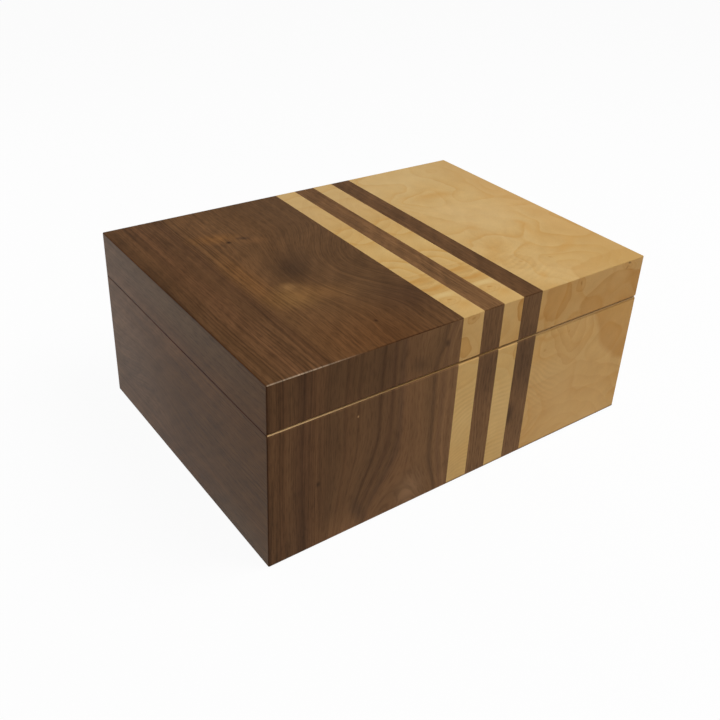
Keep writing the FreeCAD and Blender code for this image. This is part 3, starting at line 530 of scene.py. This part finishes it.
def finish_for(name):
    """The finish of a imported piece, from its name."""
    figured = {
        "lid_top_walnut_field": walnut_top, "lid_top_burl_field": burl_top,
        "lid_top_walnut_stripes": walnut_stripes_top, "lid_top_burl_stripes": burl_stripes_top,
        "front_walnut_field": walnut_front, "front_burl_field": burl_front,
        "front_walnut_stripes": walnut_stripes_front, "front_burl_stripes": burl_stripes_front,
        "back_walnut_field": walnut_back, "back_burl_field": burl_back,
        "back_walnut_stripes": walnut_stripes_front, "back_burl_stripes": burl_stripes_front,
        "left_walnut": walnut_end, "right_burl": burl_end,
    }
    for ending, material in figured.items():
        if name.endswith(ending):
            return material
    at_an_end = "left" in name or "right" in name
    if name.endswith("_splines"):
        return lime_z
    if name.endswith("front_board"):
        return lime_lid_front if name.startswith("lid") else lime_case_front
    if name.endswith("_board"):
        return lime_y if at_an_end else lime_x
    if name.endswith("_liner"):
        return lining_y if at_an_end else lining_x
    if name.endswith("lock_pin"):
        return steel
    return baize if name == "baize_pad" else brass


for name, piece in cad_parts.items():
    piece.data.materials.clear()
    piece.data.materials.append(finish_for(name))


def new_object(name, data):
    """An object in the scene."""
    thing = bpy.data.objects.new(name, data)
    bpy.context.scene.collection.objects.link(thing)
    return thing


def new_mesh(name, shape, material):
    """A mesh of a material, from a shape that is used up."""
    mesh = bpy.data.meshes.new(name)
    shape.to_mesh(mesh)
    shape.free()
    mesh.materials.append(material)
    return mesh


def new_piece(name, shape, material, body, node):
    """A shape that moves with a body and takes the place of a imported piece."""
    bmesh.ops.recalc_face_normals(shape, faces=shape.faces)
    piece = new_object(name, new_mesh(name, shape, material))
    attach(piece, body)
    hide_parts(node)
    return piece


# The baize under the case: a cut sheet, 1 mm thick, with edges that the shears left a little uneven. The
# waves are in radians from corner to corner, along an end and along a side.
SHEARS = 0.12 * MM
END_WAVES = 47
SIDE_WAVES = 61
AT_EDGE = 0.499


def baize_sheet():
    low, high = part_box("baize_pad")
    middle = (low + high) / 2
    # A grid 1 wide and 1 deep, stretched to the pad with squares of about 4 mm
    shape = bmesh.new()
    bmesh.ops.create_grid(shape, x_segments=73, y_segments=52, size=0.5)
    for vert in shape.verts:
        across, along = vert.co.x, vert.co.y
        x = across * (high.x - low.x)
        y = along * (high.y - low.y)
        if abs(across) > AT_EDGE:
            x -= math.copysign(SHEARS * (1 + math.sin(END_WAVES * along)), across)
        if abs(along) > AT_EDGE:
            y -= math.copysign(SHEARS * (1 + math.sin(SIDE_WAVES * across)), along)
        vert.co = (middle.x + x, middle.y + y, high.z)
    underside = bmesh.ops.extrude_face_region(shape, geom=shape.faces[:])
    for vert in underside["geom"]:
        if isinstance(vert, bmesh.types.BMVert):
            vert.co.z = low.z
    piece = new_piece("baize_sheet", shape, baize, "case", "baize_pad")


baize_sheet()

# Slotted countersunk brass screws, 3.5 mm across the head, in millimetres
HEAD_RADIUS = 1.75
HEAD_DEPTH = 1.2
SHANK_RADIUS = 0.9
SCREW_LENGTH = 9
POINT_LENGTH = 2
POINT_RADIUS = 0.15
SLOT_HALF_WIDTH = 0.22
SLOT_DEPTH = 0.45
SLOT_RADIUS = HEAD_RADIUS - (HEAD_RADIUS - SHANK_RADIUS) * SLOT_DEPTH / HEAD_DEPTH
# Each slot stands as the driver left it: the first one's turn, and how much further the next one stands
FIRST_TURN = 0.4
NEXT_TURN = 1.1
# Places across and along the box
HINGE_SCREWS = [(x, 103.5) for x in (-100, -76, 76, 100)]
LINK_PLATE_SCREWS = [(x, -100.55) for x in (-33, 33)]


def screw(shape, x, y, face, way, turn):
    """One screw at a place in millimetres, with its face at a height in metres. Its way is 1 where the shank
    points up, else -1, and its turn is the angle of the slot in radians."""
    steps = 14

    def ring(radius, depth, slot_radius):
        """Points round the screw, from one side of the slot to the other, over it and then under it."""
        mouth = math.asin(SLOT_HALF_WIDTH / slot_radius)
        half = [mouth + (math.pi - 2 * mouth) * step / steps for step in range(steps + 1)]
        angles = half + [angle + math.pi for angle in half]
        points = [(x + radius * math.cos(angle + turn), y + radius * math.sin(angle + turn))
                  for angle in angles]
        return [shape.verts.new((MM * across, MM * along, face + way * MM * depth))
                for across, along in points]

    rim = ring(HEAD_RADIUS, 0, HEAD_RADIUS)
    sill = ring(SLOT_RADIUS, SLOT_DEPTH, SLOT_RADIUS)
    neck = ring(SHANK_RADIUS, HEAD_DEPTH, SLOT_RADIUS)
    shank = ring(SHANK_RADIUS, SCREW_LENGTH - POINT_LENGTH, SLOT_RADIUS)
    tip = ring(POINT_RADIUS, SCREW_LENGTH, SLOT_RADIUS)
    count = len(rim)
    # The two halves of the face, the floor of the slot and the blunt tip
    slot_floor = [sill[0], sill[steps], sill[steps + 1], sill[-1]]
    for face_points in (rim[:steps + 1], rim[steps + 1:], slot_floor, tip):
        shape.faces.new(face_points)
    # The head beside the slot, the two walls of the slot, and the rest of the head and shank
    for index in range(count):
        after = (index + 1) % count
        if index not in (steps, count - 1):
            shape.faces.new((rim[index], rim[after], sill[after], sill[index]))
    for first in (0, steps + 1):
        shape.faces.new((rim[first], rim[first + steps], sill[first + steps], sill[first]))
    for upper, lower in ((sill, neck), (neck, shank), (shank, tip)):
        for index in range(count):
            after = (index + 1) % count
            shape.faces.new((upper[index], upper[after], lower[after], lower[index]))


def screws(node, body, places, way):
    """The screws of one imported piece, with their heads flush in its face."""
    low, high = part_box(node)
    shape = bmesh.new()
    for index, (x, y) in enumerate(places):
        screw(shape, x, y, low.z if way > 0 else high.z, way, FIRST_TURN + NEXT_TURN * index)
    new_piece(f"slotted_{node}", shape, screw_brass, body, node)


screws("hinge_case_screws", "case", HINGE_SCREWS, -1)
screws("hinge_lid_screws", "lid", HINGE_SCREWS, 1)
screws("link_plate_screws", "lid", LINK_PLATE_SCREWS, 1)


# Matt white paper: it shows as white, and still takes the shadow of the box
def matt_paper():
    material = bpy.data.materials.new("matt_white_paper")
    material.use_nodes = True
    tree = material.node_tree
    tree.nodes.clear()
    paper = add(tree, "BsdfDiffuse", {"Color": linear("e3e3e3")})[0]
    glow = add(tree, "Emission", {"Strength": 1.0})[0]
    rays = add(tree, "LightPath")
    seen = add(tree, "Math", [rays["Is Camera Ray"], rays["Is Glossy Ray"]], operation="MAXIMUM")[0]
    seen = add(tree, "Math", [seen, rays["Is Transmission Ray"]], operation="MAXIMUM")[0]
    glow_share = add(tree, "Math", [seen, 0.95], operation="MULTIPLY")[0]
    both = add(tree, "MixShader", [glow_share, paper, glow])[0]
    add(tree, "OutputMaterial", {"Surface": both})
    return material


# Floor: plain and pale, curving up into a backdrop 3 m high. Its profile is a radius and a rise in metres.
FLOOR_PROFILE = [(0, 0), (4.5, 0), (5, 0.05), (5.5, 0.25), (5.85, 0.7), (6, 1.3), (6, 3)]
floor_shape = bmesh.new()
sweep = [floor_shape.verts.new((radius, 0, rise)) for radius, rise in FLOOR_PROFILE]
joins = [floor_shape.edges.new(pair) for pair in zip(sweep, sweep[1:])]
bmesh.ops.spin(floor_shape, geom=sweep + joins, axis=(0, 0, 1), cent=(0, 0, 0), angle=2 * math.pi, steps=64)
bmesh.ops.remove_doubles(floor_shape, verts=floor_shape.verts, dist=MM)
for face in floor_shape.faces:
    face.smooth = True
floor = new_object("floor", new_mesh("floor", floor_shape, matt_paper()))

# Studio: an even grey room, a large soft lamp high to the right of the front, and a weak one low behind the
# left end. Both point at the middle of the box.
world = bpy.data.worlds.new("studio")
bpy.context.scene.world = world
world.use_nodes = True
world.node_tree.nodes["Background"].inputs["Color"].default_value = (1, 1, 1, 1)
world.node_tree.nodes["Background"].inputs["Strength"].default_value = 0.25
MIDDLE = Vector((0, 0, 0.06))


def lamp(name, toward, distance, size, power):
    """A round soft lamp, in a direction from the middle of the box."""
    light = bpy.data.lights.new(name, "AREA")
    light.shape = "DISK"
    light.size = size
    light.energy = power
    holder = new_object(name, light)
    direction = Vector(toward).normalized()
    holder.location = MIDDLE + direction * distance
    holder.rotation_euler = direction.to_track_quat("Z", "Y").to_euler()


lamp("soft_key", (0.35, -0.35, 0.87), distance=1.6, size=1.0, power=22)
lamp("left_fill", (-0.6, 0.72, 0.3), distance=0.85, size=0.7, power=1.8)

# Camera at the photograph's place, rolled a little
CAMERA_PLACE = (-0.34076, -0.44239, 0.3884)
CAMERA_ROLL = math.radians(3.88)
forward = Vector((0.55064, 0.67536, -0.49059)).normalized()
level = forward.cross(Vector((0, 0, 1))).normalized()
right = (Matrix.Rotation(-CAMERA_ROLL, 3, forward) @ level).normalized()
up = right.cross(forward)
camera = new_object("camera", bpy.data.cameras.new("camera"))
camera.data.lens = 45.0
camera.data.sensor_width = 36
camera.data.shift_x = -0.0491
camera.data.shift_y = -0.0644
turned = Matrix((right, up, -forward)).transposed().to_4x4()
camera.matrix_world = Matrix.Translation(CAMERA_PLACE) @ turned
bpy.context.scene.camera = camera

bpy.context.scene.view_settings.view_transform = "Standard"
